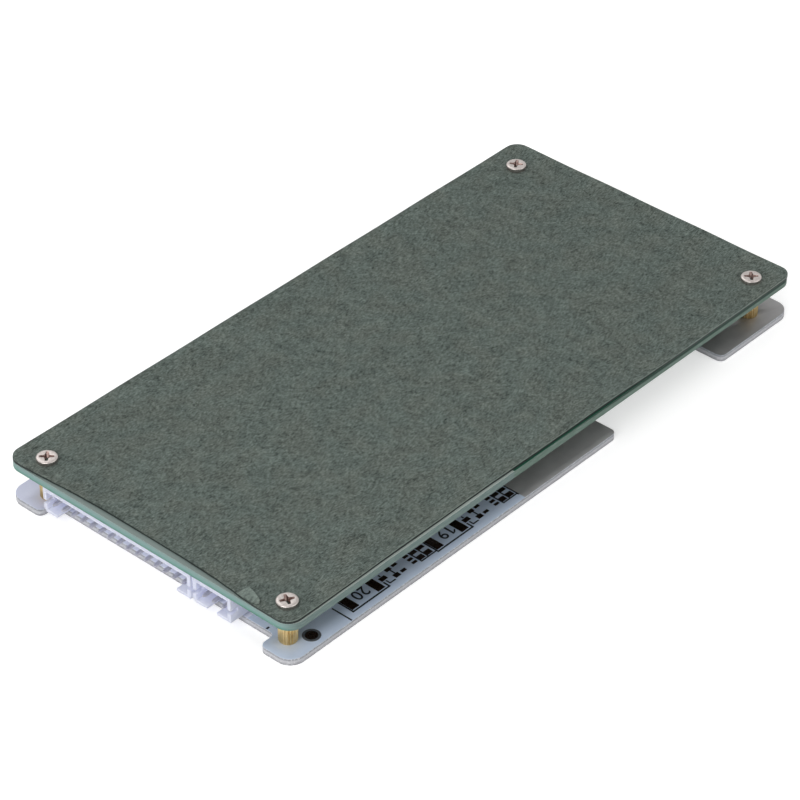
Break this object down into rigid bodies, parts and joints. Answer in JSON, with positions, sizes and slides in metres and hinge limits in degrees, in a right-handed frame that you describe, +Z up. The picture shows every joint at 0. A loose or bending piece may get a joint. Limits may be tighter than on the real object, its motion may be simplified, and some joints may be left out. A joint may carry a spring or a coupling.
{
  "type": "battery management board",
  "caption": "Two-board battery management module: aluminium-core power board, glass-epoxy control board on brass standoffs, side-entry shrouded headers, insulation sheet on top.",
  "frame": {"origin": "centre of the base board's flat underside", "axes": "+X along the long side towards the power end, away from the headers; +Z up through the stack; -Y towards the long edge with the wire notch"},
  "size_m": [0.152, 0.076, 0.0113],
  "materials": {
    "aluminium_core_board": "white solder mask on top, bare milled edges and underside",
    "glass_epoxy_board": "green solder mask, pale translucent cut edges",
    "fish_paper": "dark grey-green fibrous sheet",
    "knurled_brass": "straight knurl, satin",
    "nickel_plated_steel": "bright nickel plate",
    "white_nylon": "moulded, slightly translucent",
    "tinned_pin": "tin plate",
    "black_nylon": "moulded",
    "gilt_pin": "thin gold plate",
    "moulded_package": "fine matt moulding compound with tinned leads",
    "shunt_alloy": "rolled resistance alloy",
    "chip_resistor": "glazed top with tinned ends",
    "ferrite": "pressed and sintered",
    "capacitor_can": "drawn can on a black foot",
    "crystal_can": "welded lid"
  },
  "bodies": {
    "root": {"base_board": "aluminium_core_board", "control_board": "glass_epoxy_board", "insulation_sheet": "fish_paper", "standoffs": "knurled_brass", "cover_screws": "nickel_plated_steel", "base_screws": "nickel_plated_steel", "cell_header": "white_nylon", "cell_header_pins": "tinned_pin", "sensor_header": "white_nylon", "sensor_header_pins": "tinned_pin", "balance_link_strip": "black_nylon", "balance_link_pins": "gilt_pin", "balance_link_socket": "black_nylon", "power_link_strip": "black_nylon", "power_link_pins": "gilt_pin", "power_link_socket": "black_nylon", "power_transistor_1": "moulded_package", "power_transistor_2": "moulded_package", "power_transistor_3": "moulded_package", "power_transistor_4": "moulded_package", "power_transistor_5": "moulded_package", "power_transistor_6": "moulded_package", "power_transistor_7": "moulded_package", "power_transistor_8": "moulded_package", "power_transistor_9": "moulded_package", "power_transistor_10": "moulded_package", "power_transistor_11": "moulded_package", "power_transistor_12": "moulded_package", "current_shunt_1": "shunt_alloy", "current_shunt_2": "shunt_alloy", "balance_resistor_1": "chip_resistor", "balance_resistor_2": "chip_resistor", "balance_resistor_3": "chip_resistor", "balance_resistor_4": "chip_resistor", "balance_resistor_5": "chip_resistor", "balance_resistor_6": "chip_resistor", "balance_resistor_7": "chip_resistor", "balance_resistor_8": "chip_resistor", "balance_resistor_9": "chip_resistor", "balance_resistor_10": "chip_resistor", "balance_resistor_11": "chip_resistor", "balance_resistor_12": "chip_resistor", "balance_resistor_13": "chip_resistor", "balance_resistor_14": "chip_resistor", "cell_monitor": "moulded_package", "microcontroller": "moulded_package", "gate_driver": "moulded_package", "optocoupler_1": "moulded_package", "optocoupler_2": "moulded_package", "regulator": "moulded_package", "inductor": "ferrite", "bulk_capacitor_1": "capacitor_can", "bulk_capacitor_2": "capacitor_can", "crystal": "crystal_can", "surge_diode_1": "moulded_package", "surge_diode_2": "moulded_package", "heat_sensor": "chip_resistor"}
  },
  "joints": []
}
